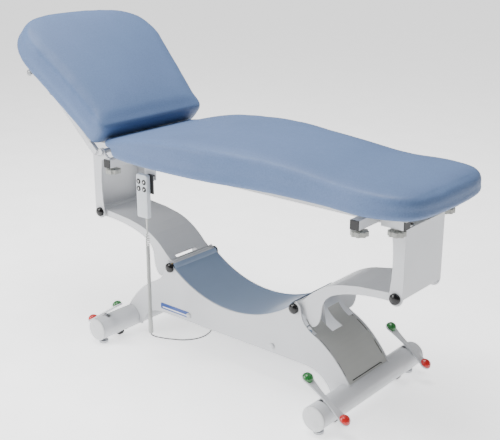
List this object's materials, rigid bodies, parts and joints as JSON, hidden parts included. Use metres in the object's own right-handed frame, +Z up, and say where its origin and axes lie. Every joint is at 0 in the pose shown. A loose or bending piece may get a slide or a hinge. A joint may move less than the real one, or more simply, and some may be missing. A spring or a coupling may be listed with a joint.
{
  "type": "medical exam table",
  "caption": "Electric height-adjustable examination couch: curved sheet-metal base, two lift arms, padded top, raised back section, castor pedals and a handset on a curly cord.",
  "frame": {"origin": "on the floor, under the middle of the couch's length and width, in the pose it is stored in", "axes": "+X towards the foot end, +Y towards the far long side, +Z up"},
  "size_m": [1.7488, 0.6388, 1.2179],
  "materials": {
    "white_paint": "satin white powder coat",
    "white_caps": "white moulded plastic",
    "blue_panel": "light blue painted sheet",
    "grey_panel": "grey painted sheet",
    "grey_plastic": "grey housing",
    "black_gloss": "glossy black",
    "black_plastic": "black moulded plastic",
    "steel": "zinc plated steel",
    "wheel_rubber": "black rubber",
    "green_grip": "green moulded plastic",
    "red_grip": "red moulded plastic",
    "bronze": "plain bronze bush",
    "actuator_grey": "satin tube",
    "bright_rod": "bright rod",
    "knob_grey": "light grey plastic",
    "board": "grey laminated board",
    "blue_vinyl": "light blue fine-grained vinyl over foam",
    "rod_grey": "grey rod",
    "handset_grey": "pale grey plastic",
    "cord_white": "pale plastic cord",
    "cable_grey": "grey plastic cable"
  },
  "bodies": {
    "base": {"side_plate_near": "white_paint", "side_plate_far": "white_paint", "trough_panel": "blue_panel", "cover_panels": "grey_panel", "floor_tubes": "white_paint", "tube_end_caps": "white_caps", "cross_braces": "white_paint", "control_box": "grey_plastic", "base_pivots": "black_gloss", "levelling_feet": "steel"},
    "head_pedals": {"head_pedal_bars": "white_paint", "head_pedal_green": "green_grip", "head_pedal_red": "red_grip"},
    "foot_pedals": {"foot_pedal_bars": "white_paint", "foot_pedal_green": "green_grip", "foot_pedal_red": "red_grip"},
    "head_castors": {"head_castor_carrier": "steel"},
    "foot_castors": {"foot_castor_carrier": "steel"},
    "head_wheels": {"head_wheelset": "wheel_rubber"},
    "foot_wheels": {"foot_wheelset": "wheel_rubber"},
    "head_arm_body": {"head_arm": "white_paint", "head_arm_bushes": "bronze"},
    "foot_arm_body": {"foot_arm": "white_paint", "foot_arm_bushes": "bronze"},
    "lift_body": {"lift_actuator_body": "actuator_grey"},
    "lift_rod": {"lift_actuator_rod": "bright_rod"},
    "bed": {"head_bracket": "white_paint", "head_outer_pivot": "black_gloss", "bed_rails": "white_paint", "cross_members": "white_paint", "accessory_sockets": "white_paint", "socket_plugs": "black_plastic", "hinge_lugs": "white_paint", "main_board": "board", "main_pad": "blue_vinyl", "back_actuator_body": "actuator_grey"},
    "foot_slide": {"foot_bracket": "white_paint", "foot_outer_pivot": "black_gloss", "slide_blocks": "black_plastic"},
    "back_section": {"back_frame": "white_paint", "back_axle_caps": "black_gloss", "back_board": "board", "back_pad": "blue_vinyl"},
    "back_rod": {"back_actuator_rod": "bright_rod"},
    "paper_roll": {"paper_roll_rod": "rod_grey"},
    "handset": {"handset_shell": "handset_grey", "handset_hook": "black_plastic", "cord_coil": "cord_white"},
    "cord_end": {"cord_sleeve": "cord_white", "cord_cable": "cable_grey"},
    "knob_head_near_body": {"knob_head_near": "knob_grey"},
    "knob_head_far_body": {"knob_head_far": "knob_grey"},
    "knob_foot_near_body": {"knob_foot_near": "knob_grey"},
    "knob_foot_far_body": {"knob_foot_far": "knob_grey"},
    "knob_end_near_body": {"knob_end_near": "knob_grey"},
    "knob_end_far_body": {"knob_end_far": "knob_grey"},
    "button_raise_body": {"button_raise": "black_plastic"},
    "button_lower_body": {"button_lower": "black_plastic"},
    "button_back_up_body": {"button_back_up": "black_plastic"},
    "button_back_down_body": {"button_back_down": "black_plastic"}
  },
  "joints": [
    {"name": "lift", "type": "hinge", "parent": "base", "child": "head_arm_body", "pos_m": [-0.22265, 0, 0.317], "axis": [0, 1, 0], "range_deg": [-43, 25]},
    {"name": "bed_level", "type": "hinge", "parent": "head_arm_body", "child": "bed", "pos_m": [-0.60565, 0, 0.456], "axis": [0, 1, 0], "range_deg": [-25, 43]},
    {"name": "foot_arm_swing", "type": "hinge", "parent": "base", "child": "foot_arm_body", "pos_m": [0.35935, 0, 0.317], "axis": [0, -1, 0], "range_deg": [-43, 25]},
    {"name": "foot_bracket_level", "type": "hinge", "parent": "foot_arm_body", "child": "foot_slide", "pos_m": [0.74235, 0, 0.456], "axis": [0, -1, 0], "range_deg": [-25, 43]},
    {"name": "lift_body_level", "type": "hinge", "parent": "head_arm_body", "child": "lift_body", "pos_m": [-0.24731, 0, 0.17716], "axis": [0, 1, 0], "range_deg": [-25, 43]},
    {"name": "lift_rod_level", "type": "hinge", "parent": "foot_arm_body", "child": "lift_rod", "pos_m": [0.38401, 0, 0.17716], "axis": [0, -1, 0], "range_deg": [-25, 43]},
    {"name": "back_lift", "type": "hinge", "parent": "bed", "child": "back_section", "pos_m": [-0.43665, 0, 0.75], "axis": [0, 1, 0], "range_deg": [-42, 28]},
    {"name": "back_rod_slide", "type": "slide", "parent": "bed", "child": "back_rod", "axis": [-1, 0, 0], "range_m": [-0.0585, 0.039]},
    {"name": "paper_roll_spin", "type": "hinge", "parent": "back_section", "child": "paper_roll", "pos_m": [-0.78698, 0, 1.00354], "axis": [0, 1, 0], "continuous": true},
    {"name": "head_pedal_press", "type": "hinge", "parent": "base", "child": "head_pedals", "pos_m": [-0.44315, 0, 0.062], "axis": [0, 1, 0], "range_deg": [0, 20]},
    {"name": "foot_pedal_press", "type": "hinge", "parent": "base", "child": "foot_pedals", "pos_m": [0.57985, 0, 0.062], "axis": [0, -1, 0], "range_deg": [0, 20]},
    {"name": "head_castor_drop", "type": "slide", "parent": "base", "child": "head_castors", "axis": [0, 0, -1], "range_m": [0, 0.0071]},
    {"name": "foot_castor_drop", "type": "slide", "parent": "base", "child": "foot_castors", "axis": [0, 0, -1], "range_m": [0, 0.0071]},
    {"name": "head_wheel_spin", "type": "hinge", "parent": "head_castors", "child": "head_wheels", "pos_m": [-0.44315, 0, 0.0235], "axis": [0, 1, 0], "continuous": true},
    {"name": "foot_wheel_spin", "type": "hinge", "parent": "foot_castors", "child": "foot_wheels", "pos_m": [0.57985, 0, 0.0235], "axis": [0, 1, 0], "continuous": true},
    {"name": "knob_head_near_turn", "type": "hinge", "parent": "bed", "child": "knob_head_near_body", "pos_m": [-0.40165, -0.218, 0.68], "axis": [0, 0, 1], "continuous": true},
    {"name": "knob_head_far_turn", "type": "hinge", "parent": "bed", "child": "knob_head_far_body", "pos_m": [-0.40165, 0.218, 0.68], "axis": [0, 0, 1], "continuous": true},
    {"name": "knob_foot_near_turn", "type": "hinge", "parent": "bed", "child": "knob_foot_near_body", "pos_m": [0.67035, -0.218, 0.68], "axis": [0, 0, 1], "continuous": true},
    {"name": "knob_foot_far_turn", "type": "hinge", "parent": "bed", "child": "knob_foot_far_body", "pos_m": [0.67035, 0.218, 0.68], "axis": [0, 0, 1], "continuous": true},
    {"name": "knob_end_near_turn", "type": "hinge", "parent": "bed", "child": "knob_end_near_body", "pos_m": [0.75535, -0.148, 0.68], "axis": [0, 0, 1], "continuous": true},
    {"name": "knob_end_far_turn", "type": "hinge", "parent": "bed", "child": "knob_end_far_body", "pos_m": [0.75535, 0.148, 0.68], "axis": [0, 0, 1], "continuous": true},
    {"name": "handset_lift", "type": "slide", "parent": "bed", "child": "handset", "axis": [0, 0, 1], "range_m": [0, 0.02]},
    {"name": "button_raise_press", "type": "slide", "parent": "handset", "child": "button_raise_body", "axis": [0, 1, 0], "range_m": [0, 0.0015], "stiffness_N_per_m": 500},
    {"name": "button_lower_press", "type": "slide", "parent": "handset", "child": "button_lower_body", "axis": [0, 1, 0], "range_m": [0, 0.0015], "stiffness_N_per_m": 500},
    {"name": "button_back_up_press", "type": "slide", "parent": "handset", "child": "button_back_up_body", "axis": [0, 1, 0], "range_m": [0, 0.0015], "stiffness_N_per_m": 500},
    {"name": "button_back_down_press", "type": "slide", "parent": "handset", "child": "button_back_down_body", "axis": [0, 1, 0], "range_m": [0, 0.0015], "stiffness_N_per_m": 500},
    {"name": "cord_stretch", "type": "slide", "parent": "handset", "child": "cord_end", "axis": [0, 0, -1], "range_m": [-0.29, 0.17], "deforming": ["cord_coil"]}
  ],
  "couplings": [
    {"joint": "bed_level", "follows": "lift", "ratio": -1},
    {"joint": "foot_arm_swing", "follows": "lift", "ratio": 1},
    {"joint": "foot_bracket_level", "follows": "lift", "ratio": -1},
    {"joint": "lift_body_level", "follows": "lift", "ratio": -1},
    {"joint": "lift_rod_level", "follows": "lift", "ratio": -1},
    {"joint": "back_rod_slide", "follows": "back_lift", "m_per_rad": 0.0789},
    {"joint": "head_castor_drop", "follows": "head_pedal_press", "m_per_rad": 0.02},
    {"joint": "foot_castor_drop", "follows": "foot_pedal_press", "m_per_rad": 0.02},
    {"joint": "cord_stretch", "follows": "lift", "m_per_rad": 0.383}
  ]
}
